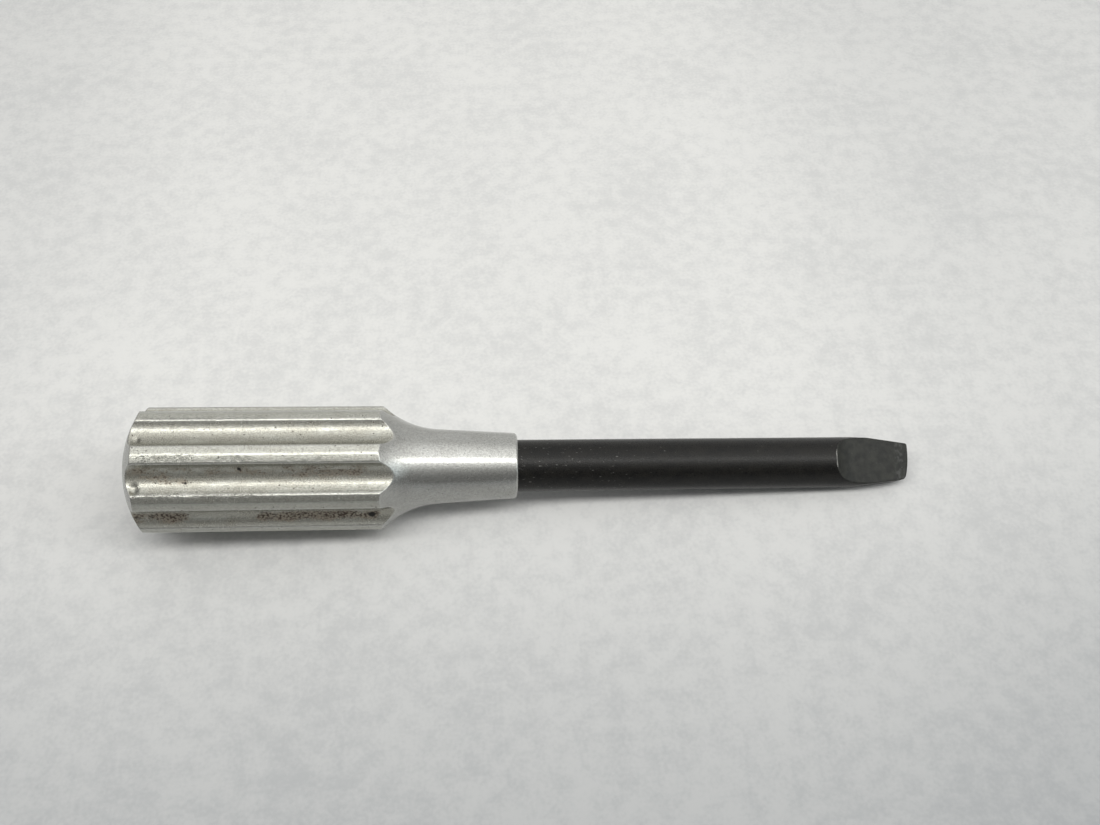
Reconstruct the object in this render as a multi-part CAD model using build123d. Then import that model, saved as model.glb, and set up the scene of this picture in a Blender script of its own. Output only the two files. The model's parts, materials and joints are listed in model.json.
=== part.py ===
from build123d import *

import math
import os

# Fixed-blade slotted screwdriver: a black steel blade driven into a one-piece aluminium handle.
# The tool lies along X with its tip at +X, and one flute of the grip faces +Z.
# Origin: centre of the blade's tip end face. Units: mm.

# Overall stations, measured back from the tip
MOUTH_FROM_TIP = 62.2  # where the blade leaves the handle
BUTT_FROM_TIP = 120.3  # the crown of the handle's domed end

# Handle: bar fluted lengthways, then turned to shape
BAR_DIA = 19.05
FLUTE_COUNT = 8
FLUTE_CUTTER_R = 2.66
FLUTE_DEPTH = 1.72
RIDGE_TOP_R = 1.7
RIDGE_SLOPE_DEG = 13.0  # the ridges' two sides fall away from their tops, like a low roof
RIDGE_EDGE_R = 0.45
MOUTH_DIA = 10.05
MOUTH_CHAMFER = 0.25
NECK_TAPER_LENGTH = 12.05
NECK_TAPER_DEG = 3.3
FLARE_R = 12.7
FLARE_SWEEP_DEG = 44.0  # runs a little past the bar's surface
BUTT_CHAMFER_LENGTH = 1.12
BUTT_DOME_R = 17.1
BUTT_DOME_EDGE_DIA = 15.24

# Blade: round rod with a turned, splined tang at the back and ground faces at the front.
# The shoulder between shank and tang seats on the handle's mouth.
SHANK_DIA = 7.94
TANG_DIA = 6.35
TANG_LENGTH = 31.0
TANG_END_CHAMFER = 0.5
SPLINE_COUNT = 24
SPLINE_HEIGHT = 0.22
SPLINE_LENGTH = 14.0
SPLINE_FROM_SHOULDER = 15.0
BORE_END_GAP = 1.2  # air left behind the tang
DRILL_POINT_DEG = 118.0
TIP_THICKNESS = 1.1
TIP_FACE_DEG = 8.0
TIP_FACE_LENGTH = 9.2
TIP_FACE_WHEEL_R = 5.6
TIP_WIDTH = 5.7
TIP_SIDE_DEG = 6.8
TIP_SIDE_LENGTH = 8.6
TIP_SIDE_WHEEL_R = 5.6
TIP_CORNER_R = 0.25
BLADE_ROLL_DEG = 27.0  # where the blade stopped when it was driven in, from the flute at +Z

BAR_R = BAR_DIA / 2
SHANK_R = SHANK_DIA / 2
TANG_R = TANG_DIA / 2
MOUTH_X = -MOUTH_FROM_TIP
BUTT_X = -BUTT_FROM_TIP
TANG_END_X = MOUTH_X - TANG_LENGTH
SPLINE_FRONT_X = MOUTH_X - SPLINE_FROM_SHOULDER
SPLINE_BACK_X = SPLINE_FRONT_X - SPLINE_LENGTH
OVERRUN = 1.0  # how far cutters and blanks pass the surfaces they cut


def rod(radius, x_from, x_to):
    """A round bar along X."""
    return Plane.YZ.offset(x_from) * extrude(Circle(radius), x_to - x_from)


def turned(outline):
    """The solid swept by a closed outline, drawn in XZ above the X axis, about X."""
    return revolve(Plane.XZ * make_face(outline), axis=Axis.X)


def star(inner_r, outer_r, point_count):
    """A flat star round X in the YZ plane, with one inner corner at the angle 0."""
    corners = []
    for step in range(2 * point_count):
        radius = outer_r if step % 2 else inner_r
        angle = step * math.pi / point_count
        corners.append((radius * math.cos(angle), radius * math.sin(angle)))
    return make_face(Polyline(*corners, close=True))


def fluted_bar():
    """Handle stock: bar with lengthways flutes, and roof-shaped ridges between them with rounded edges."""
    slope = math.radians(RIDGE_SLOPE_DEG)
    side_distance = (BAR_R - RIDGE_TOP_R) * math.cos(slope) + RIDGE_TOP_R
    peak_r = side_distance / math.cos(slope)
    valley_r = side_distance / math.cos(math.pi / FLUTE_COUNT - slope)
    cutter_pitch_r = BAR_R - FLUTE_DEPTH + FLUTE_CUTTER_R
    flutes = PolarLocations(cutter_pitch_r, FLUTE_COUNT) * Circle(FLUTE_CUTTER_R)
    section = star(valley_r, peak_r, FLUTE_COUNT) - flutes

    peaks = section.vertices().group_by(SortBy.DISTANCE)[-1]
    section = fillet(peaks, RIDGE_TOP_R)
    flute_edges = section.vertices().group_by(SortBy.DISTANCE)[0]
    section = fillet(flute_edges, RIDGE_EDGE_R)
    return Plane.YZ.offset(BUTT_X - OVERRUN) * extrude(section, MOUTH_X - BUTT_X + 2 * OVERRUN)


def handle_outline():
    """Half outline of the turned handle: mouth, tapering neck, flare, chamfered and domed butt."""
    mouth_r = MOUTH_DIA / 2
    taper = math.radians(NECK_TAPER_DEG)
    chamfer = MOUTH_CHAMFER
    neck_front = (MOUTH_X - chamfer, mouth_r)
    neck_back = (
        MOUTH_X - NECK_TAPER_LENGTH,
        mouth_r + (NECK_TAPER_LENGTH - chamfer) * math.tan(taper),
    )
    uphill = (-math.cos(taper), math.sin(taper))
    flare = JernArc(neck_back, uphill, FLARE_R, -FLARE_SWEEP_DEG)
    flare_top = flare @ 1

    dome_edge_r = BUTT_DOME_EDGE_DIA / 2
    dome_height = BUTT_DOME_R - math.sqrt(BUTT_DOME_R**2 - dome_edge_r**2)
    dome_edge = (BUTT_X + dome_height, dome_edge_r)
    chamfer_slope = (BAR_R - dome_edge_r) / BUTT_CHAMFER_LENGTH
    chamfer_top = (dome_edge[0] + (flare_top.Y - dome_edge_r) / chamfer_slope, flare_top.Y)
    dome = RadiusArc(dome_edge, (BUTT_X, 0), -BUTT_DOME_R)
    return (
        Line((MOUTH_X, 0), (MOUTH_X, mouth_r - chamfer))
        + Line((MOUTH_X, mouth_r - chamfer), neck_front)
        + Line(neck_front, neck_back)
        + flare
        + Line(flare_top, chamfer_top)
        + Line(chamfer_top, dome_edge)
        + dome
        + Line((BUTT_X, 0), (MOUTH_X, 0))
    )


def spline_band(x_from, x_to):
    """Straight V teeth round the tang, rooted on the tang's surface."""
    teeth = star(TANG_R, TANG_R + SPLINE_HEIGHT, SPLINE_COUNT)
    return Plane.YZ.offset(x_from) * extrude(teeth, x_to - x_from)


def handle_bore():
    """Blind drilled hole for the tang, with the grooves its splines cut as it was driven in."""
    floor_x = TANG_END_X - BORE_END_GAP
    point_x = floor_x - TANG_R / math.tan(math.radians(DRILL_POINT_DEG / 2))
    drilled = Polyline(
        (MOUTH_X + OVERRUN, 0),
        (MOUTH_X + OVERRUN, TANG_R),
        (floor_x, TANG_R),
        (point_x, 0),
        close=True,
    )
    grooves = spline_band(SPLINE_BACK_X, MOUTH_X + OVERRUN)
    return turned(drilled) + Rot(X=BLADE_ROLL_DEG) * grooves


def make_handle():
    return (fluted_bar() & turned(handle_outline())) - handle_bore()


def blade_blank():
    """The rod before grinding: shank, tang with a chamfered end, and the tang's splines."""
    tang = Polyline(
        (MOUTH_X, 0),
        (MOUTH_X, TANG_R),
        (TANG_END_X + TANG_END_CHAMFER, TANG_R),
        (TANG_END_X, TANG_R - TANG_END_CHAMFER),
        (TANG_END_X, 0),
        close=True,
    )
    splines = spline_band(SPLINE_BACK_X, SPLINE_FRONT_X)
    return rod(SHANK_R, MOUTH_X, 0) + turned(tang) + splines


def ground_away(tip_size, slope_deg, straight_length, wheel_r):
    """What a wheel removes above and below the blade: a straight slope, then the wheel's run-out."""
    slope = math.radians(slope_deg)
    past_tip = (OVERRUN, tip_size / 2 - OVERRUN * math.tan(slope))
    slope_end = (-straight_length, tip_size / 2 + straight_length * math.tan(slope))
    run_out_sweep = 50.0
    run_out = JernArc(slope_end, (-math.cos(slope), math.sin(slope)), wheel_r, -run_out_sweep)
    clear_of_rod = (run_out @ 1).Y + SHANK_DIA
    outline = (
        Line(past_tip, slope_end)
        + run_out
        + Polyline(run_out @ 1, ((run_out @ 1).X, clear_of_rod), (OVERRUN, clear_of_rod), past_tip)
    )
    upper = extrude(Plane.XZ * make_face(outline), SHANK_DIA, both=True)
    return upper + mirror(upper, about=Plane.XY)


def make_blade():
    faces = ground_away(TIP_THICKNESS, TIP_FACE_DEG, TIP_FACE_LENGTH, TIP_FACE_WHEEL_R)
    sides = ground_away(TIP_WIDTH, TIP_SIDE_DEG, TIP_SIDE_LENGTH, TIP_SIDE_WHEEL_R)
    blade = blade_blank() - faces - Rot(X=90) * sides
    tip_corners = blade.edges().filter_by(Axis.Z).group_by(Axis.X)[-1]
    blade = fillet(tip_corners, TIP_CORNER_R)
    return Rot(X=BLADE_ROLL_DEG) * blade


def main():
    os.makedirs("parts", exist_ok=True)
    export_step(make_handle(), "parts/handle.step")
    export_step(make_blade(), "parts/blade.step")


main()
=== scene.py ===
"""Looks of the slotted screwdriver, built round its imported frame.

Lengths are in millimetres up to the point where a mesh, light or camera is made.
A section point is a complex number: its real part lies along +Z and its imaginary part along -Y,
so an angle round the tool runs from +Z towards -Y.
"""

import json
import math

import bmesh
import bpy
import numpy as np
from mathutils import Matrix, Vector


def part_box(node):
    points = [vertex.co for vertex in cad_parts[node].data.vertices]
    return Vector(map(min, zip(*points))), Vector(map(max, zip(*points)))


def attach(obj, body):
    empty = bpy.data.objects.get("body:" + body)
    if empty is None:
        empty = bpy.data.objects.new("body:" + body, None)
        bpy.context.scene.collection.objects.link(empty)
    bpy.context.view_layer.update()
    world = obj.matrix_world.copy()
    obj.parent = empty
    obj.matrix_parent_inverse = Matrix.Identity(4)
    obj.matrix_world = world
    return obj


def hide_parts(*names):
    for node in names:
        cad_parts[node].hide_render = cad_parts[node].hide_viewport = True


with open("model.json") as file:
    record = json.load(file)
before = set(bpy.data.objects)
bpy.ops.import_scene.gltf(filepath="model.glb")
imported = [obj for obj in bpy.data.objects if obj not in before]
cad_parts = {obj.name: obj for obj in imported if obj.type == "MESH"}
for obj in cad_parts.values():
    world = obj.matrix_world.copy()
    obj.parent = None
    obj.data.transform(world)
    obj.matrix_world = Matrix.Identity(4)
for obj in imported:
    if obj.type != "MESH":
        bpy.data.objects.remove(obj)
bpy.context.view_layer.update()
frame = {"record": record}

MM = 0.001

# Stations along the axis, read from the frame
BUTT_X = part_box("handle")[0].x / MM
MOUTH_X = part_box("handle")[1].x / MM
TANG_END_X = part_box("blade")[0].x / MM
TIP_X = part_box("blade")[1].x / MM
MOUNTS = {mount["name"]: mount for mount in frame["record"]["mounts"]}

# Handle
BAR_R = 9.525
FLUTES = 8
FLUTE_R = 2.66
FLUTE_DEPTH = 1.72
RIDGE_TOP_R = 1.7
RIDGE_SLOPE = math.radians(13.0)
RIDGE_EDGE_R = 0.45
MOUTH_R = 5.025
MOUTH_CHAMFER = 0.25
NECK_LENGTH = 12.05
NECK_TAPER = math.radians(3.3)
FLARE_R = 12.7
BUTT_CHAMFER_LENGTH = 1.12
DOME_R = 17.1
DOME_EDGE_R = 7.62

# Blade
SHANK_R = MOUNTS["shank"]["dims"]["r_mm"]
TANG_R = 3.175
TANG_CHAMFER = 0.5
SPLINES = 24
SPLINE_HEIGHT = 0.22
SPLINE_LENGTH = 14.0
SPLINE_FROM_SHOULDER = 15.0
BORE_END_GAP = 1.2
DRILL_POINT = math.radians(118.0)
BLADE_ROLL = math.radians(27.0)
# Ground surfaces of the tip: size at the end, slope, straight length, wheel radius
TIP_FACES = (1.1, math.radians(8.0), 9.2, 5.6)
TIP_SIDES = (5.7, math.radians(6.8), 8.6, 5.6)

# Cells round the handle, for half of one flute and ridge
FLUTE_CELLS, EDGE_CELLS, SLOPE_CELLS, TOP_CELLS = 10, 4, 2, 4
# Cells round a quarter of the blade
FACE_CELLS, ARC_CELLS, SIDE_CELLS = 14, 24, 6
# Spacing of rings along each surface, and their distances from its ends where an edge is eased
GRIP_STEP, GRIP_EDGE_STEPS = 0.2, (0.03, 0.07, 0.12, 0.2)
BUTT_STEP, BUTT_EDGE_STEPS = 0.14, (0.04, 0.1)
FLARE_STEP = 0.3
NECK_STEP, NECK_EDGE_STEPS = 0.5, (0.05, 0.12)
TIP_STEP, TIP_EDGE_STEPS = 0.2, (0.03, 0.07, 0.12)
RUN_OUT_EDGE_STEPS = (0.15, 0.08, 0.03)
SIDE_EDGE_STEPS = (0.0, 0.03, 0.08, 0.15, 0.28)
# Rings where a surface is divided evenly, and shares of the way over the mouth's chamfer and the tip's end
DOME_RINGS = 14
SHANK_RINGS = 160
RUN_OUT_RINGS = 32
MOUTH_SHARES = (0.2, 0.5, 0.8, 1.0)
END_SHARES = (0.96, 0.88, 0.75, 0.4, 0.0)
FAR = 9.0  # a gap to the nearest edge that means there is none near

# Derived handle shape
NECK_BACK_X = MOUTH_X - NECK_LENGTH
NECK_FRONT_X = MOUTH_X - MOUTH_CHAMFER
NECK_BACK_R = MOUTH_R + (NECK_FRONT_X - NECK_BACK_X) * math.tan(NECK_TAPER)
FLARE_X = NECK_BACK_X + FLARE_R * math.sin(NECK_TAPER)
FLARE_Y = NECK_BACK_R + FLARE_R * math.cos(NECK_TAPER)
DOME_SWEEP = math.asin(DOME_EDGE_R / DOME_R)
DOME_EDGE_X = BUTT_X + DOME_R * (1 - math.cos(DOME_SWEEP))
BUTT_SLOPE = (BAR_R - DOME_EDGE_R) / BUTT_CHAMFER_LENGTH

# Derived tang and bore
SPLINE_FRONT_X = MOUTH_X - SPLINE_FROM_SHOULDER
SPLINE_BACK_X = SPLINE_FRONT_X - SPLINE_LENGTH
BORE_END_X = TANG_END_X - BORE_END_GAP


def flare_x(radius):
    """Where the flare's arc has a radius."""
    return FLARE_X - np.sqrt(FLARE_R**2 - (FLARE_Y - radius) ** 2)


def butt_x(radius):
    """Where the butt's chamfer has a radius."""
    return DOME_EDGE_X + (radius - DOME_EDGE_R) / BUTT_SLOPE


GRIP_FRONT_X = float(flare_x(BAR_R))

# Marks of use. Each place is millimetres behind the grip's front and degrees round the tool.
# Pits and dents: place, half length, half width, depth
PITS = (
    (19.8, 36, 0.25, 0.22, 0.10),
    (27.4, 50, 0.20, 0.18, 0.08),
    (1.6, 19, 0.30, 0.16, 0.06),
    (1.3, 96, 0.45, 0.35, 0.10),
    (-2.4, -52, 0.40, 0.30, 0.14),
)
RIM_DENTS = (
    (34.5, 55, 0.45, 0.45, 0.26),
    (34.6, 4, 0.40, 0.50, 0.22),
    (34.6, 118, 0.40, 0.45, 0.20),
    (34.5, -150, 0.45, 0.40, 0.22),
)
# Knocked stretches of ridges: from, to, degrees, spread in degrees, number of knocks
KNOCKED_RIDGES = (
    (26.0, 34.0, 26.0, 1.6, 30),
    (17.5, 23.5, 27.5, 1.2, 24),
    (18.0, 33.0, 60.5, 1.1, 50),
    (16.0, 34.0, -16.0, 0.7, 16),
    (6.0, 14.0, 118.0, 0.8, 14),
    (2.0, 17.0, -106.0, 0.9, 24),
    (22.0, 30.0, 163.0, 1.2, 18),
)
# Scattered knocks: how many, how far behind the grip's front, and how many degrees beside a ridge's top
SCATTERED_KNOCKS = 70
SCATTER_BEHIND = (0.5, 34.0)
SCATTER_BESIDE = (5.5, 8.2)
# Every knock: half width, then half length and depth as multiples of it
KNOCK_SIZES = (0.08, 0.18)
KNOCK_LENGTHS = (1.2, 3.0)
KNOCK_DEPTHS = (0.2, 0.45)
# Stained stretches of flutes: from, to, degrees, half width in degrees, strength
STAINS = (
    (27.5, 36.0, 95.5, 6.5, 0.60),
    (0.2, 18.0, 95.5, 6.5, 0.60),
    (27.0, 34.0, 46.0, 7.0, 0.40),
    (2.0, 14.0, 39.0, 8.0, 0.42),
    (0.0, 36.0, 38.0, 5.0, 0.34),
    (9.0, 31.0, -133.0, 6.0, 0.60),
    (4.0, 15.0, 178.0, 6.0, 0.62),
)

STRETCH_FADE = 1.2  # length over which a stretch's ends fade
# How far from an edge it is eased, and how far from it the metal is rubbed
HANDLE_EDGE_BLEND, TIP_EDGE_BLEND = 0.12, 0.14
HANDLE_RUB_WIDTH, TIP_RUB_WIDTH = 0.1, 0.12

# The tip's end is worn out of square: a curved loss from a place across the blade, positive towards its
# lower corner, and a rounding of each corner with its depth, its distance from the middle and its width
SKEW, SKEW_START = 0.035, -1.5
LOW_CORNER_LOSS, LOW_CORNER_START, LOW_CORNER_WIDTH = 0.25, 2.1, 0.75
HIGH_CORNER_LOSS, HIGH_CORNER_START, HIGH_CORNER_WIDTH = 0.22, 2.4, 0.45
TIP_WEAR_LENGTH = 2.4  # how far back from the end the loss is spread
TIP_RUB = 0.35
# The heel, where the ground face's run-out leaves the round shank, is rubbed bright in its middle, which also
# holds a painted highlight
HEEL_RUB_AND_HIGHLIGHT = 1.3
HEEL_FROM_TIP, HEEL_FADE = 10.8, 1.8
HEEL_MIDDLE, HEEL_HALF_WIDTH, HEEL_REACH = -0.05, 1.5, 0.28

rng = np.random.default_rng(5)


# --------------------------------------------------------------- mesh building


def gathered(length, step, edge_steps=GRIP_EDGE_STEPS):
    """Shares from 0 to 1 along a length, about one step apart and closer together at both ends."""
    first = edge_steps[-1]
    cells = max(2, round((length - 2 * first) / step))
    middle = np.linspace(first, length - first, cells + 1)
    near = np.array(edge_steps[:-1])
    return np.concatenate([[0.0], near, middle, length - near[::-1], [length]]) / length


class Rings:
    """Rings of points along X that close into one mesh, with named values carried at each point."""

    def __init__(self, columns, names):
        self.columns = columns
        self.names = names
        self.points = []
        self.values = []

    def add(self, x, section, **values):
        x = np.broadcast_to(x, self.columns)
        section = np.broadcast_to(section, self.columns)
        self.points.append(np.stack([x, -section.imag, section.real], axis=1))
        row = [np.broadcast_to(values.get(name, 0.0), self.columns) for name in self.names]
        self.values.append(np.stack(row, axis=1).astype(float))

    def build(self, name):
        """The closed mesh object; points that fall together become one."""
        points = np.concatenate(self.points) * MM
        values = np.concatenate(self.values)
        column = np.arange(self.columns)
        following = np.roll(column, -1)
        faces = []
        for row in range(len(self.points) - 1):
            low, high = row * self.columns, (row + 1) * self.columns
            faces.append(np.stack([low + column, low + following, high + following, high + column], 1))
        mesh = bpy.data.meshes.new(name)
        mesh.from_pydata(points.tolist(), [], np.concatenate(faces).tolist())
        for index, value_name in enumerate(self.names):
            set_values(mesh, value_name, values[:, index])
        work = bmesh.new()
        work.from_mesh(mesh)
        bmesh.ops.remove_doubles(work, verts=work.verts, dist=1e-7)
        work.to_mesh(mesh)
        work.free()
        obj = bpy.data.objects.new(name, mesh)
        bpy.context.scene.collection.objects.link(obj)
        return obj


def points_of(mesh):
    flat = np.empty(len(mesh.vertices) * 3, np.float32)
    mesh.vertices.foreach_get("co", flat)
    return flat.reshape(-1, 3).astype(float) / MM


def values_of(mesh, name):
    flat = np.empty(len(mesh.vertices), np.float32)
    mesh.attributes[name].data.foreach_get("value", flat)
    return flat.astype(float)


def set_values(mesh, name, values):
    layer = mesh.attributes.get(name) or mesh.attributes.new(name, "FLOAT", "POINT")
    layer.data.foreach_set("value", np.asarray(values, np.float32))


def sink(mesh, depth):
    """Moves each vertex in along its normal."""
    normals = np.empty(len(mesh.vertices) * 3, np.float32)
    mesh.vertex_normals.foreach_get("vector", normals)
    moved = points_of(mesh) - normals.reshape(-1, 3) * depth[:, None]
    mesh.vertices.foreach_set("co", (moved * MM).astype(np.float32).ravel())
    mesh.update()


def eased(gap, blend):
    """How far an edge's surface is broken back, at a gap from that edge."""
    near = np.maximum(blend - gap, 0.0) / blend
    return near**2 * blend / 4


def turned_from(points, degrees):
    """Each point's angle round the tool in radians, from a direction given in degrees."""
    section = points[:, 2] - 1j * points[:, 1]
    return np.angle(section * np.exp(-1j * math.radians(degrees)))


def nearness(points, place, half_length, half_width):
    """1 at a place on the grip, fading with distance from it along and round the tool."""
    behind, degrees = place
    along = (GRIP_FRONT_X - behind - points[:, 0]) / half_length
    radius = np.hypot(points[:, 1], points[:, 2])
    across = radius * turned_from(points, degrees) / half_width
    return np.exp(-(along**2) - across**2)


def dented(points, places, steepness=1.0):
    """Depth of the listed dents; a steepness over 1 gives them steeper sides and a flat bottom."""
    depth = np.zeros(len(points))
    for behind, degrees, half_length, half_width, deepest in places:
        near = nearness(points, (behind, degrees), half_length, half_width)
        depth += deepest * np.minimum(near * steepness, 1)
    return depth


def stretch(points, behind_from, behind_to, degrees, half_width_degrees):
    """1 inside a stretch of the grip, fading over its borders."""
    behind = GRIP_FRONT_X - points[:, 0]
    along = np.clip((behind - behind_from) / STRETCH_FADE + 0.5, 0, 1)
    along *= np.clip((behind_to - behind) / STRETCH_FADE + 0.5, 0, 1)
    across = turned_from(points, degrees) / math.radians(half_width_degrees)
    return along * np.exp(-(across**4))


def finish_mesh(obj, sharp_angle=math.radians(38)):
    obj.data.shade_smooth()
    obj.data.set_sharp_from_angle(angle=sharp_angle)


# ---------------------------------------------------------------------- handle


def grip_section():
    """One turn of the grip's cross-section from the flute at angle 0, and 1 where it is a ridge edge."""
    half_pitch = math.pi / FLUTES
    flute_at = BAR_R - FLUTE_DEPTH + FLUTE_R
    top_at = (BAR_R - RIDGE_TOP_R) * np.exp(1j * half_pitch)
    slope_turn = half_pitch - RIDGE_SLOPE
    slope_out = np.exp(1j * slope_turn)

    # The edge's arc touches the sloping side of the ridge and the flute
    offset = (top_at - flute_at) / slope_out + RIDGE_TOP_R - RIDGE_EDGE_R
    slide = math.sqrt((FLUTE_R + RIDGE_EDGE_R) ** 2 - offset.real**2) - offset.imag
    edge_at = flute_at + (offset + 1j * slide) * slope_out
    flute_turn = float(np.angle(flute_at - edge_at))

    def arc(centre, radius, turn_from, turn_to, cells):
        return centre + radius * np.exp(1j * np.linspace(turn_from, turn_to, cells, endpoint=False))

    flute = arc(flute_at, -FLUTE_R, 0, flute_turn, FLUTE_CELLS)
    edge = arc(edge_at, RIDGE_EDGE_R, flute_turn, slope_turn, EDGE_CELLS)
    slope_ends = edge_at + RIDGE_EDGE_R * slope_out, top_at + RIDGE_TOP_R * slope_out
    slope = np.linspace(*slope_ends, SLOPE_CELLS, endpoint=False)
    top = arc(top_at, RIDGE_TOP_R, slope_turn, half_pitch, TOP_CELLS)
    half = np.concatenate([flute, edge, slope, top, [BAR_R * np.exp(1j * half_pitch)]])
    is_edge = np.zeros(half.size)
    is_edge[FLUTE_CELLS:FLUTE_CELLS + EDGE_CELLS + 1] = 1

    mirrored = half[-2:0:-1].conjugate() * np.exp(2j * half_pitch)
    period = np.concatenate([half, mirrored])
    turn = [period * np.exp(2j * half_pitch * step) for step in range(FLUTES)]
    return np.concatenate(turn), np.tile(np.concatenate([is_edge, is_edge[-2:0:-1]]), FLUTES)


def splined(angle):
    """Radius of the tang's straight-flanked splines, at angles from one of their roots."""
    half_pitch = math.pi / SPLINES
    crest = TANG_R + SPLINE_HEIGHT
    turn = np.abs((angle + half_pitch) % (2 * half_pitch) - half_pitch)
    return TANG_R * crest * math.sin(half_pitch) / (TANG_R * np.sin(turn) + crest * np.sin(half_pitch - turn))


def add_butt(rings, section, around):
    for sweep in np.linspace(0, DOME_SWEEP, DOME_RINGS):
        x = BUTT_X + DOME_R * (1 - math.cos(sweep))
        gap = DOME_R * (DOME_SWEEP - sweep)
        rings.add(x, DOME_R * math.sin(sweep) * around, gap=gap, turned=1, outside=1)
    rear = butt_x(np.abs(section))
    for share in gathered(BUTT_CHAMFER_LENGTH, BUTT_STEP, BUTT_EDGE_STEPS)[1:-1]:
        x = DOME_EDGE_X + (rear - DOME_EDGE_X) * share
        radius = DOME_EDGE_R + (x - DOME_EDGE_X) * BUTT_SLOPE
        gap = np.minimum(np.abs(section) - radius, radius - DOME_EDGE_R)
        rings.add(x, radius * around, gap=gap, turned=1, outside=1)


def add_grip(rings, section, is_edge):
    rear, front = butt_x(np.abs(section)), flare_x(np.abs(section))
    for share in gathered(float(np.mean(front - rear)), GRIP_STEP):
        x = rear + (front - rear) * share
        gap = np.minimum(x - rear, front - x)
        rings.add(x, section, gap=gap, ridge_edge=is_edge, outside=1)


def add_neck(rings, section, around):
    front = flare_x(np.abs(section))
    for share in gathered(float(np.mean(NECK_BACK_X - front)), FLARE_STEP)[1:]:
        x = front + (NECK_BACK_X - front) * share
        radius = FLARE_Y - np.sqrt(FLARE_R**2 - (x - FLARE_X) ** 2)
        rings.add(x, radius * around, gap=np.abs(section) - radius, turned=1, outside=1)
    for share in gathered(NECK_FRONT_X - NECK_BACK_X, NECK_STEP, NECK_EDGE_STEPS)[1:]:
        x = NECK_BACK_X + (NECK_FRONT_X - NECK_BACK_X) * share
        radius = MOUTH_R + (NECK_FRONT_X - x) * math.tan(NECK_TAPER)
        rings.add(x, radius * around, gap=NECK_FRONT_X - x, turned=1, outside=1)
    for share in MOUTH_SHARES:
        radius = MOUTH_R - MOUTH_CHAMFER * share
        gap = MOUTH_CHAMFER * min(share, 1 - share)
        rings.add(NECK_FRONT_X + MOUTH_CHAMFER * share, radius * around, gap=gap, turned=1, outside=1)
    for radius in (MOUTH_R - MOUTH_CHAMFER - 0.06, SHANK_R + 0.3, SHANK_R):
        rings.add(MOUTH_X, radius * around, gap=FAR, turned=1, outside=1)


def add_bore(rings, around):
    """The blind hole, grooved as deep as the blade's splines went in."""
    groove = splined(np.angle(around) - BLADE_ROLL) * around
    rings.add(MOUTH_X, groove, gap=FAR, turned=1)
    rings.add(SPLINE_BACK_X, groove, gap=FAR, turned=1)
    rings.add(SPLINE_BACK_X, TANG_R * around, gap=FAR, turned=1)
    rings.add(BORE_END_X, TANG_R * around, gap=FAR, turned=1)
    rings.add(BORE_END_X - TANG_R / math.tan(DRILL_POINT / 2), 0j, gap=FAR, turned=1)


def knocks(points):
    """Depth of the small knocks on the ridges: the knocked stretches, then scattered ones."""
    places = []
    for behind_from, behind_to, degrees, spread, count in KNOCKED_RIDGES:
        for behind in rng.uniform(behind_from, behind_to, count):
            places.append((behind, degrees + rng.normal(0, spread)))
    pitch = 360 / FLUTES
    for ridge in rng.integers(0, FLUTES, SCATTERED_KNOCKS):
        side = rng.choice([-1, 1]) * rng.uniform(*SCATTER_BESIDE)
        places.append((rng.uniform(*SCATTER_BEHIND), pitch * (ridge + 0.5) + side))
    depth = np.zeros(len(points))
    for place in places:
        size = rng.uniform(*KNOCK_SIZES)
        near = nearness(points, place, size * rng.uniform(*KNOCK_LENGTHS), size)
        depth = np.maximum(depth, near * size * rng.uniform(*KNOCK_DEPTHS))
    return depth


def wear_handle(mesh):
    """Breaks the edges, sinks the dents and knocks, and notes where the surface is pitted and stained."""
    points = points_of(mesh)
    outside = values_of(mesh, "outside")
    gap = values_of(mesh, "gap")
    pits = dented(points, PITS)
    dents = np.maximum(dented(points, RIM_DENTS, steepness=1.8), knocks(points))
    sink(mesh, (eased(gap, HANDLE_EDGE_BLEND) + pits + dents) * outside)

    knocked = np.zeros(len(points))
    for behind_from, behind_to, degrees, spread, _ in KNOCKED_RIDGES:
        knocked = np.maximum(knocked, stretch(points, behind_from, behind_to, degrees, 1.8 * spread))
    stained = np.zeros(len(points))
    for *place, strength in STAINS:
        stained = np.maximum(stained, strength * stretch(points, *place))
    hollow = (BAR_R - np.hypot(points[:, 1], points[:, 2])) / FLUTE_DEPTH
    set_values(mesh, "edge", np.exp(-gap / HANDLE_RUB_WIDTH) * outside)
    set_values(mesh, "pitted", np.clip(pits / 0.05, 0, 1))
    set_values(mesh, "knocked", knocked)
    set_values(mesh, "stained", stained)
    set_values(mesh, "hollow", np.clip(hollow, 0, 1) * (1 - values_of(mesh, "turned")))


def make_handle():
    section, is_edge = grip_section()
    around = section / np.abs(section)
    rings = Rings(section.size, ("gap", "turned", "ridge_edge", "outside"))
    add_butt(rings, section, around)
    add_grip(rings, section, is_edge)
    add_neck(rings, section, around)
    add_bore(rings, around)
    handle = rings.build("handle_shell")
    wear_handle(handle.data)
    finish_mesh(handle)
    return handle


# ----------------------------------------------------------------------- blade


def ground_half(distance, size, slope, straight, wheel_r):
    """Half the thickness or width left by grinding, at a distance back from the tip."""
    sine = np.minimum(np.maximum(distance - straight, 0.0) / wheel_r + math.sin(slope), 1.0)
    lift = wheel_r * (math.cos(slope) - np.sqrt(1 - sine**2))
    return size / 2 + np.minimum(distance, straight) * math.tan(slope) + lift


def ground_distance(half, size, slope, straight, wheel_r):
    """How far back from the tip the wheel's run-out leaves half a thickness or width."""
    cosine = math.cos(slope) - (half - size / 2 - straight * math.tan(slope)) / wheel_r
    return straight + wheel_r * (np.sqrt(1 - cosine**2) - math.sin(slope))


def drawn_in(cells):
    """Shares from 0 to 1 whose last cells are the smallest."""
    shares = np.linspace(0, 1, cells + 1)
    return shares * (1.45 - 0.45 * shares**2)


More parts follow.
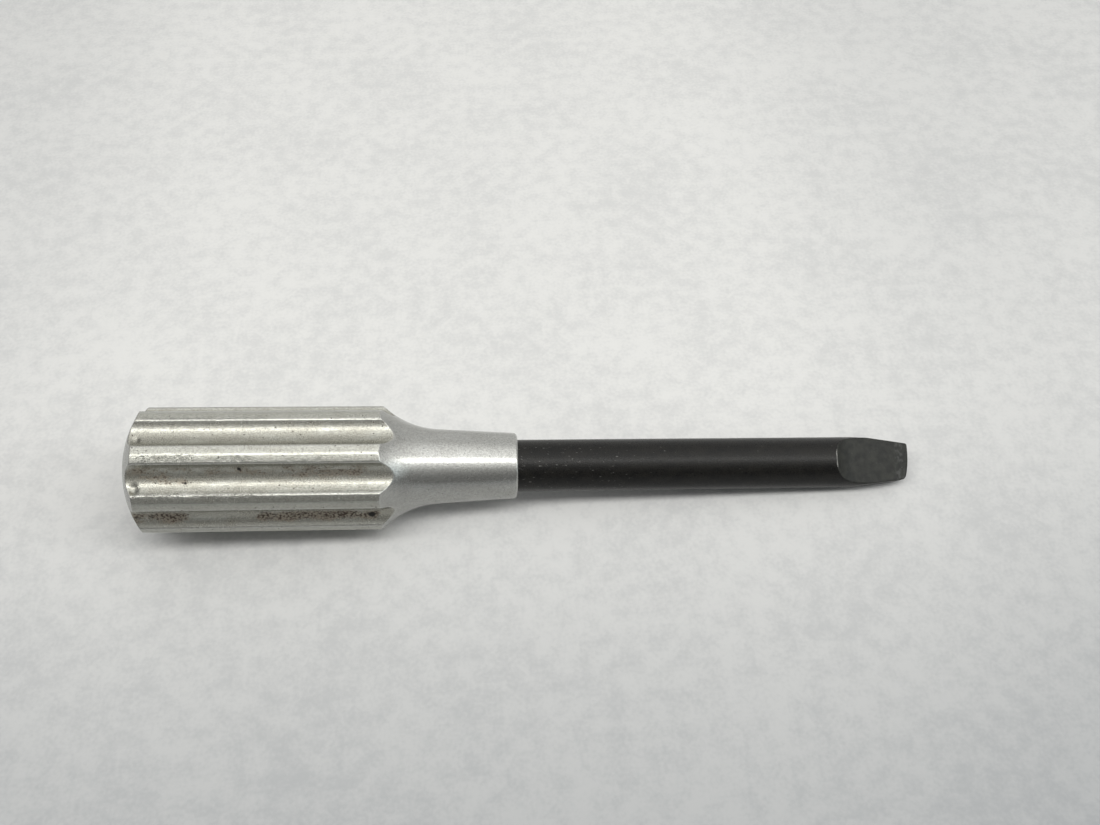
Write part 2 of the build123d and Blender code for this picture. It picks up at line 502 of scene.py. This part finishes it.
def tip_quarter(half_thickness, half_width):
    """A quarter of the blade's section, from mid-face round to mid-side, before its roll."""
    t, w = min(half_thickness, SHANK_R), min(half_width, SHANK_R)
    cut = t**2 + w**2 > SHANK_R**2
    face_end = complex(t, math.sqrt(max(SHANK_R**2 - t**2, 0.0)) if cut else w)
    side_end = complex(math.sqrt(max(SHANK_R**2 - w**2, 0.0)) if cut else t, w)
    face = t + 1j * face_end.imag * drawn_in(FACE_CELLS)[:-1]
    sweep = np.linspace(np.angle(face_end), np.angle(side_end), ARC_CELLS, endpoint=False)
    arc = SHANK_R * np.exp(1j * sweep) if cut else np.full(ARC_CELLS, face_end)
    side = side_end.real * (1 - np.linspace(0, 1, SIDE_CELLS + 1)) + 1j * w
    return np.concatenate([face, arc, side])


def tip_ring(distance):
    """The blade's whole section at a distance back from the tip, before its roll."""
    thickness = float(ground_half(distance, *TIP_FACES))
    quarter = tip_quarter(thickness, float(ground_half(distance, *TIP_SIDES)))
    mirrored = -quarter.conjugate()[::-1]
    half = np.concatenate([quarter[:-1], mirrored[:-1]])
    return np.concatenate([half, -half])


def tip_gaps(distance, section):
    """Distances from points to the surfaces that bound the blade: round, faces, sides and end."""
    return np.array([
        SHANK_R - np.abs(section),
        ground_half(distance, *TIP_FACES) - np.abs(section.real),
        ground_half(distance, *TIP_SIDES) - np.abs(section.imag),
        np.broadcast_to(distance, section.shape),
    ])


def ring_distances():
    """Distances back from the tip at which the ground end has a ring."""
    straight = TIP_FACES[2]
    even = np.arange(0.0, straight, TIP_STEP)
    thickest = float(ground_half(straight, *TIP_FACES))
    sweep = np.linspace(math.acos(thickest / SHANK_R), 0.0, RUN_OUT_RINGS)
    run_out = ground_distance(SHANK_R * np.cos(sweep), *TIP_FACES)
    sides = ground_distance(SHANK_R, *TIP_SIDES) - np.array(SIDE_EDGE_STEPS)
    return np.unique(np.concatenate([even, TIP_EDGE_STEPS, run_out, sides]).round(4))[::-1]


def add_tang(rings, shank_ring):
    """The tang, its splines and the shoulder."""
    angle = np.angle(shank_ring)
    plain = TANG_R * np.exp(1j * (angle + BLADE_ROLL))
    spline = plain * splined(angle) / TANG_R
    rings.add(TANG_END_X, 0j, gap=FAR)
    rings.add(TANG_END_X, plain * (TANG_R - TANG_CHAMFER) / TANG_R, gap=FAR)
    rings.add(TANG_END_X + TANG_CHAMFER, plain, gap=FAR)
    rings.add(SPLINE_BACK_X, plain, gap=FAR)
    rings.add(SPLINE_BACK_X, spline, gap=FAR)
    rings.add(SPLINE_FRONT_X, spline, gap=FAR)
    rings.add(SPLINE_FRONT_X, plain, gap=FAR)
    rings.add(MOUTH_X, plain, gap=FAR)


def wear_tip(mesh):
    """Wears the end back towards its lower corner, rounds its corners, and notes where edges are rubbed and
    where the heel is rubbed and painted with a highlight.
    """
    points = points_of(mesh)
    gap = values_of(mesh, "gap")
    back = TIP_X - points[:, 0]
    across = ((points[:, 2] - 1j * points[:, 1]) * np.exp(-1j * BLADE_ROLL)).imag

    heel = np.clip((back - HEEL_FROM_TIP) / HEEL_FADE, 0, 1)
    heel *= np.exp(-(((across - HEEL_MIDDLE) / HEEL_HALF_WIDTH) ** 2))
    set_values(mesh, "edge", TIP_RUB * np.exp(-gap / TIP_RUB_WIDTH))
    # Painted highlight: the heel's brightness, strongest in its middle, also stands in for the shank's
    # highlight crossing it
    set_values(mesh, "heel", HEEL_RUB_AND_HIGHLIGHT * heel * np.exp(-gap / HEEL_REACH))

    skew = SKEW * np.maximum(across - SKEW_START, 0) ** 2
    low_corner = np.clip((across - LOW_CORNER_START) / LOW_CORNER_WIDTH, 0, 1)
    high_corner = np.clip((-across - HIGH_CORNER_START) / HIGH_CORNER_WIDTH, 0, 1)
    worn = skew + LOW_CORNER_LOSS * low_corner**2.4 + HIGH_CORNER_LOSS * high_corner**2.4
    points[:, 0] -= worn * np.clip(1 - back / TIP_WEAR_LENGTH, 0, 1) ** 1.5
    mesh.vertices.foreach_set("co", (points * MM).astype(np.float32).ravel())
    mesh.update()


def make_blade():
    roll = np.exp(1j * BLADE_ROLL)
    distances = ring_distances()
    shank_ring = tip_ring(distances[0] + 1.0)
    rings = Rings(shank_ring.size, ("gap", "ground"))
    add_tang(rings, shank_ring)
    front = TIP_X - distances[0]
    for x in np.linspace(MOUTH_X, front, SHANK_RINGS)[:-1]:
        rings.add(x, shank_ring * roll, gap=FAR)
    for x in front - np.array(RUN_OUT_EDGE_STEPS):
        rings.add(x, shank_ring * roll, gap=FAR)
    for distance in distances:
        section = tip_ring(distance)
        gaps = tip_gaps(distance, section)
        ground = gaps[0] > np.minimum(gaps[1], gaps[2]) + 1e-6
        rings.add(TIP_X - distance, section * roll, gap=np.sort(gaps, axis=0)[1], ground=ground)
    for share in END_SHARES:
        section = tip_ring(0.0) * share
        gaps = tip_gaps(0.0, section)
        rings.add(TIP_X, section * roll, gap=np.sort(gaps, axis=0)[1], ground=1)
    blade = rings.build("blade_steel")
    mesh = blade.data
    sink(mesh, eased(values_of(mesh, "gap"), TIP_EDGE_BLEND))
    wear_tip(mesh)
    finish_mesh(blade)
    return blade


# ------------------------------------------------------------------- materials

BLACK = (0.0, 0.0, 0.0)
BAR_CLEAN, BAR_DULL = (0.50, 0.50, 0.452), (0.40, 0.39, 0.34)
TURNED_LIGHT, TURNED_DARK = (0.455, 0.458, 0.44), (0.425, 0.425, 0.405)
RUBBED_ALUMINIUM = (0.52, 0.52, 0.50)
STAIN_FILM = (0.25, 0.205, 0.155)
RUST_DARK, RUST_LIGHT = (0.026, 0.020, 0.014), (0.055, 0.040, 0.029)
PIT_DIRT = (0.010, 0.009, 0.008)
OXIDE_DARK, OXIDE_LIGHT = (0.0020, 0.0020, 0.0020), (0.0080, 0.0074, 0.0062)
GROUND_DARK, GROUND_LIGHT = (0.003, 0.0035, 0.003), (0.018, 0.019, 0.0155)
SCRAPED_STEEL = (0.060, 0.062, 0.058)
BARE_STEEL = (0.33, 0.325, 0.31)
PAPER_CLOUDY, PAPER_CLEAR = (0.610, 0.613, 0.612), (0.705, 0.705, 0.697)
PAPER_UNLIT = (0.0, 0.02, 0.05)


class Term:
    """One output in a node tree; arithmetic between terms adds the nodes that compute it."""

    def __init__(self, tree, socket):
        self.tree = tree
        self.socket = socket

    def plug(self, target):
        self.tree.links.new(self.socket, target)

    def math(self, operation, *others):
        node = self.tree.nodes.new("ShaderNodeMath")
        node.operation = operation
        for target, value in zip(node.inputs, (self, *others)):
            fill(target, value)
        return Term(self.tree, node.outputs[0])

    def __add__(self, other):
        return self.math("ADD", other)

    def __sub__(self, other):
        return self.math("SUBTRACT", other)

    def __mul__(self, other):
        return self.math("MULTIPLY", other)

    def __rsub__(self, other):
        return self * -1 + other

    __radd__ = __add__
    __rmul__ = __mul__

    def over(self, low, high):
        """A soft step: 0 up to low, 1 from high."""
        node = self.tree.nodes.new("ShaderNodeMapRange")
        node.interpolation_type = "SMOOTHSTEP"
        for target, value in zip(node.inputs, (self, low, high)):
            fill(target, value)
        return Term(self.tree, node.outputs[0])

    def under(self, low, high):
        return 1 - self.over(low, high)

    def among(self, low, high):
        """A value from low to high as this one goes from 0 to 1."""
        return self * (high - low) + low

    def colours(self, first, second, blend="MIX"):
        """The first colour turning into the second as this goes from 0 to 1."""
        node = self.tree.nodes.new("ShaderNodeMix")
        node.data_type = "RGBA"
        node.blend_type = blend
        node.clamp_factor = True
        for target, value in zip((node.inputs[0], node.inputs[6], node.inputs[7]), (self, first, second)):
            fill(target, value)
        return Term(self.tree, node.outputs[2])

    def shade(self, colour):
        """A colour darkened to this share of itself."""
        return self.colours(BLACK, colour)


def fill(target, value):
    """Sets a node's input to a number or colour, or plugs a term into it."""
    if isinstance(value, Term):
        value.plug(target)
    elif isinstance(value, tuple):
        target.default_value = (*value, 1)
    else:
        target.default_value = value


class Look:
    """A node tree being built, and the place it is asked about, in millimetres."""

    def __init__(self, tree, place, scale=1 / MM):
        self.tree = tree
        x, y, z = self.node("ShaderNodeSeparateXYZ", [self.coordinates(place)]).outputs
        self.x = Term(tree, x) * scale
        self.y = Term(tree, y) * scale
        self.z = Term(tree, z) * scale

    def node(self, kind, inputs=()):
        made = self.tree.nodes.new(kind)
        for target, value in zip(made.inputs, inputs):
            fill(target, value)
        return made

    def coordinates(self, name):
        return Term(self.tree, self.node("ShaderNodeTexCoord").outputs[name])

    def angle(self):
        """Degrees round the tool from +Z towards -Y."""
        return (self.y * -1).math("ARCTAN2", self.z) * math.degrees(1)

    def radius(self):
        return (self.y * self.y + self.z * self.z).math("SQRT")

    def value(self, name):
        node = self.node("ShaderNodeAttribute")
        node.attribute_name = name
        return Term(self.tree, node.outputs["Fac"])

    def scaled(self, *scales):
        parts = [part * scale for part, scale in zip((self.x, self.y, self.z), scales)]
        return Term(self.tree, self.node("ShaderNodeCombineXYZ", parts).outputs[0])

    def noise(self, *scales, detail=2.0, extra=None):
        """Cloudy values round 0.5, with a number of features per millimetre on each axis."""
        node = self.node("ShaderNodeTexNoise")
        node.noise_dimensions = "3D" if extra is None else "4D"
        fill(node.inputs["Vector"], self.scaled(*scales))
        if extra is not None:
            fill(node.inputs["W"], extra)
        node.inputs["Scale"].default_value = 1
        node.inputs["Detail"].default_value = detail
        return Term(self.tree, node.outputs[0])

    def specks(self, density, size, share):
        """1 in small round specks: cells per millimetre, radius in cells, share of cells with one."""
        node = self.node("ShaderNodeTexVoronoi")
        fill(node.inputs["Vector"], self.scaled(density, density, density))
        node.inputs["Scale"].default_value = 1
        near = Term(self.tree, node.outputs["Distance"]).under(size * 0.6, size)
        chosen = Term(self.tree, node.outputs["Color"]).over(1 - share, 1 - share + 0.01)
        return near * chosen


class Material(Look):
    """A look for a surface, with its principled shader."""

    def __init__(self, name):
        self.material = bpy.data.materials.new(name)
        self.material.use_nodes = True
        super().__init__(self.material.node_tree, "Object")
        self.shader = self.tree.nodes["Principled BSDF"]

    def set(self, **values):
        for name, value in values.items():
            fill(self.shader.inputs[name.replace("_", " ").title().replace("Ior", "IOR")], value)

    def bump(self, height, micrometres):
        node = self.node("ShaderNodeBump")
        fill(node.inputs["Height"], height)
        node.inputs["Distance"].default_value = micrometres * 1e-6
        Term(self.tree, node.outputs[0]).plug(self.shader.inputs["Normal"])

    def brushed_round_x(self, amount, turn):
        """Stretches highlights across a grain that runs round X, turned by a share of a full turn."""
        tangent = self.node("ShaderNodeTangent")
        tangent.direction_type = "RADIAL"
        tangent.axis = "X"
        Term(self.tree, tangent.outputs[0]).plug(self.shader.inputs["Tangent"])
        self.set(anisotropic=amount, anisotropic_rotation=turn)


def aluminium():
    """Drawn and fluted bar, turned bright at the neck and butt, dulled and stained by use, with painted shade
    on the side that faces the viewer and the floor.
    """
    look = Material("worn_aluminium")
    turned = look.value("turned")
    stained = look.value("stained")
    edge = look.value("edge")

    # Textures: fine to coarse, lines along the bar, and lines round what was turned
    grain = look.noise(7, 7, 7, detail=3)
    mottle = look.noise(2.6, 3.6, 3.6, detail=4)
    blotches = look.noise(0.35, 0.7, 0.7, detail=4)
    drawn = look.noise(0.06, 7, 7, detail=3)
    scored = look.noise(0.25, 20, 20, detail=2)
    lathe = look.noise(12, 0.15, 0.15, detail=3, extra=look.radius() * 12)

    # Dirt: a film with crusted spots in the stains, specks everywhere, and the filled pits
    film = (stained + (blotches - 0.5) + (mottle - 0.5) * 0.9).over(0.25, 0.6)
    crust = look.noise(2.8, 3.6, 3.6, detail=4) + stained * 0.15
    spots = film * crust.over(0.56, 0.64)
    specks = look.specks(2, 0.27, 0.22) * turned.among(1.0, 0.5)
    pitted = (look.value("pitted") + (grain - 0.5)).over(0.4, 0.7)
    dirt = spots.math("MAXIMUM", pitted).math("MAXIMUM", specks * 0.8)

    # Bare metal, duller in the flutes, with painted shade on the side of the tool that faces the viewer and
    # the floor
    streaks = (drawn * 0.6 + scored * 0.4).over(0.3, 0.7)
    dull = (look.value("hollow") * 0.5 + (blotches - 0.5) * 1.6 + 0.2).over(0.1, 0.9)
    bar = streaks.among(1.0, 0.84).shade(dull.colours(BAR_CLEAN, BAR_DULL))
    metal = turned.colours(bar, blotches.over(0.3, 0.7).colours(TURNED_LIGHT, TURNED_DARK))
    # Painted shade: darkens the metal's colour on the side that faces the viewer and the floor
    painted_shade_facing_floor = look.angle().over(35, 80) * look.angle().under(120, 170)
    rubbed = edge * 0.7 + look.value("ridge_edge") * grain.over(0.35, 0.6) * 0.5
    metal = rubbed.colours(painted_shade_facing_floor.among(1.0, 0.9).shade(metal), RUBBED_ALUMINIUM)
    mottling = (mottle - 0.5) * 0.6 + (grain - 0.5) * turned.among(1.1, 0.7)
    metal = (film * 0.55).colours((mottling + 0.88).shade(metal), STAIN_FILM)
    rust = pitted.colours(blotches.over(0.4, 0.6).colours(RUST_DARK, RUST_LIGHT), PIT_DIRT)

    chips = (look.noise(2.2, 5, 5, detail=3) + look.value("knocked") * 0.3).over(0.71, 0.77)
    grip_rough = streaks.among(0.15, 0.23) + (grain - 0.5) * 0.25 + dull * 0.06 + film * 0.1
    neck_rough = lathe.among(0.16, 0.30)
    look.set(
        base_color=dirt.colours(metal, rust),
        metallic=turned.among(0.84, 0.93) - dirt * 0.6,
        roughness=turned.among(grip_rough, neck_rough) - edge * 0.05 + dirt * 0.3,
    )
    lines = drawn * 0.9 + scored * 0.5 + grain * 1.1 + mottle * 0.5
    turning = lathe * 1.4 + grain * 0.5 + mottle * 0.4
    look.bump(turned.among(lines, turning) - dirt * 0.8 - chips * 8, micrometres=13)
    look.brushed_round_x(0.5, turned * 0.25)
    return look.material


def black_oxide():
    """Blackened steel: satin round the shank, greyer where it is ground, rubbed through along its edges, with
    a painted highlight in the heel's middle.
    """
    look = Material("black_oxide_steel")
    ground = look.value("ground")
    grain = look.noise(7, 7, 7, detail=3)
    blotches = look.noise(0.5, 0.9, 0.9, detail=4)
    patches = look.noise(0.9, 0.9, 0.9, detail=4)
    fine_lines = look.noise(0.5, 14, 14, detail=2)

    oxide = (blotches * 0.5 + grain * 0.5).over(0.35, 0.65).colours(OXIDE_DARK, OXIDE_LIGHT)
    faces = (patches * 0.7 + grain * 0.3).over(0.34, 0.68).colours(GROUND_DARK, GROUND_LIGHT)
    # Scraped in a band just behind the tip, where it turns against the walls of slots
    band = look.x.over(-2.6, -1.9) * look.x.under(-1.1, -0.5)
    scraped = band * look.noise(1.6, 1.2, 1.2, detail=3).over(0.45, 0.65)
    colour = (scraped * 0.6).colours(ground.colours(oxide, faces), SCRAPED_STEEL)

    # Bared along the edges and the heel of the ground face, and in scratches, most of them near the handle;
    # the heel's middle also holds a painted highlight
    handled = look.x.under(-50, -38) * 0.05
    scratched = (look.noise(1.5, 7, 7, detail=3) + handled).over(0.72, 0.78) * 0.45
    worn = look.value("heel").math("MAXIMUM", look.value("edge")) + (grain - 0.5) * 0.8
    # Painted highlight: the heel's share of this mask brightens the colour where the shank's highlight
    # crosses it
    bared_and_highlit = worn.over(0.3, 0.9).math("MAXIMUM", scratched)
    look.set(
        base_color=bared_and_highlit.colours(colour, BARE_STEEL),
        metallic=bared_and_highlit * 0.9,
        roughness=ground.among(0.33, 0.42) + (grain - 0.5) * 0.6,
        ior=1.32,
    )
    look.bump(fine_lines * 0.6 + grain * 1.4, micrometres=10)
    return look.material


def floor_paper():
    """Off-white wrapping paper with cloudy fibres, and painted shade that makes it darker towards the viewer
    and to both sides.
    """
    look = Material("floor_paper")
    clouds = look.noise(0.05, 0.05, 0.05, detail=3) * 0.4 + look.noise(0.35, 0.35, 0.35, detail=5) * 0.6
    fibres = look.noise(1.6, 1.6, 1.6, detail=3)
    paper = (clouds * 0.7 + fibres * 0.3).over(0.36, 0.60).colours(PAPER_CLOUDY, PAPER_CLEAR)
    # Painted shade: the paper's colour falls off towards the viewer and to both sides, standing in for the
    # light's falloff
    painted_shade_towards_viewer = look.y.over(-75, 25).among(0.57, 1.0)
    painted_shade_to_the_sides = (look.x.over(-90, -30) * look.x.under(55, 115)).among(0.88, 1.0)
    look.set(base_color=(painted_shade_towards_viewer * painted_shade_to_the_sides).colours(PAPER_UNLIT, paper), roughness=0.9)
    return look.material


# ----------------------------------------------------------------------- stage

# The tool rests on two ridges' edges at the front of its grip, and on the end of its shank's round part
FLOOR_SIZE = 12.0  # metres
FLOOR_TILT = math.radians(4.33)
FLOOR_UP = Vector((-math.sin(FLOOR_TILT), 0, math.cos(FLOOR_TILT)))
FLOOR_AT = Vector((GRIP_FRONT_X, 0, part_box("handle")[0].z / MM))

CAMERA_AT = Vector((-72.4, -96.4, 136.2))
CAMERA_FORWARD = Vector((0.0922, 0.6142, -0.7837))
CAMERA_UP = Vector((0.0059, 0.7867, 0.6173))
LENS, SENSOR_WIDTH = 35.5, 36.0

# Lights: the point they face, their distance from it in metres, and the directions they come from
LIT_POINT = Vector((-60, 0, 0))
LIGHT_DISTANCE = 0.9
CEILING = (0, -0.28, 0.96)
WINDOW = (0.88, -0.31, 0.36)


def make_floor():
    bpy.ops.mesh.primitive_plane_add(size=FLOOR_SIZE)
    floor = bpy.context.object
    floor.name = "floor"
    floor.rotation_mode = "QUATERNION"
    floor.rotation_quaternion = Vector((0, 0, 1)).rotation_difference(FLOOR_UP)
    floor.location = FLOOR_AT * MM
    floor.data.materials.append(floor_paper())


def make_camera():
    camera = bpy.data.objects.new("camera", bpy.data.cameras.new("camera"))
    bpy.context.scene.collection.objects.link(camera)
    camera.data.lens = LENS
    camera.data.sensor_width = SENSOR_WIDTH
    camera.data.clip_start = 5 * MM
    forward = CAMERA_FORWARD.normalized()
    right = forward.cross(CAMERA_UP).normalized()
    up = right.cross(forward)
    turned = Matrix((right, up, -forward)).transposed().to_4x4()
    camera.matrix_world = Matrix.Translation(CAMERA_AT * MM) @ turned
    bpy.context.scene.camera = camera


def panel(name, towards, size, radiance, colour, mirrored=True):
    """A rectangular soft light that faces the tool from a direction, and may show in its reflections."""
    light = bpy.data.objects.new(name, bpy.data.lights.new(name, "AREA"))
    bpy.context.scene.collection.objects.link(light)
    light.data.shape = "RECTANGLE"
    light.data.size, light.data.size_y = size
    light.data.energy = radiance * math.pi * size[0] * size[1]
    light.data.color = colour
    towards = Vector(towards).normalized()
    light.location = LIT_POINT * MM + towards * LIGHT_DISTANCE
    light.rotation_mode = "QUATERNION"
    light.rotation_quaternion = towards.to_track_quat("Z", "X")
    light.visible_glossy = mirrored


def make_lights():
    panel("ceiling_panel", CEILING, (0.165, 2.6), 3.7, (1, 0.995, 0.965))
    panel("ceiling_fill", CEILING, (0.25, 2.6), 3.2, (1, 0.99, 0.96), mirrored=False)
    panel("side_window", WINDOW, (0.5, 0.4), 0.9, (0.85, 0.97, 1.0))


def make_world():
    """A room that is bright overhead, dim behind the camera, and pale where it is seen directly."""
    world = bpy.data.worlds.new("room")
    bpy.context.scene.world = world
    world.use_nodes = True
    look = Look(world.node_tree, "Generated", 1)
    angle = look.angle()
    ends = look.x.over(-0.7, -0.2) * look.x.over(0.3, 0.95).among(1.0, 0.6)
    walls = angle.over(20, 75).among(0.85, 0.23)
    glow = angle.over(-55, 0) * angle.under(15, 50)
    rays = look.node("ShaderNodeLightPath").outputs
    diffuse = Term(look.tree, rays["Is Diffuse Ray"])
    seen = Term(look.tree, rays["Is Camera Ray"])
    light = (walls + glow) * ends.among(0.2, 1.0) * diffuse.among(1.0, 0.5)
    background = look.tree.nodes["Background"]
    fill(background.inputs["Strength"], seen.among(light, 0.75))
    fill(background.inputs["Color"], (1.0, 1.0, 0.98))


def main():
    handle = make_handle()
    blade = make_blade()
    handle.data.materials.append(aluminium())
    blade.data.materials.append(black_oxide())
    for piece, node, slot in (
        (handle, "handle", "handle_aluminium"),
        (blade, "blade", "blade_black_steel"),
    ):
        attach(piece, "root")
        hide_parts(node)
    make_floor()
    make_lights()
    make_world()
    make_camera()
    bpy.context.scene.view_settings.view_transform = "Standard"


main()
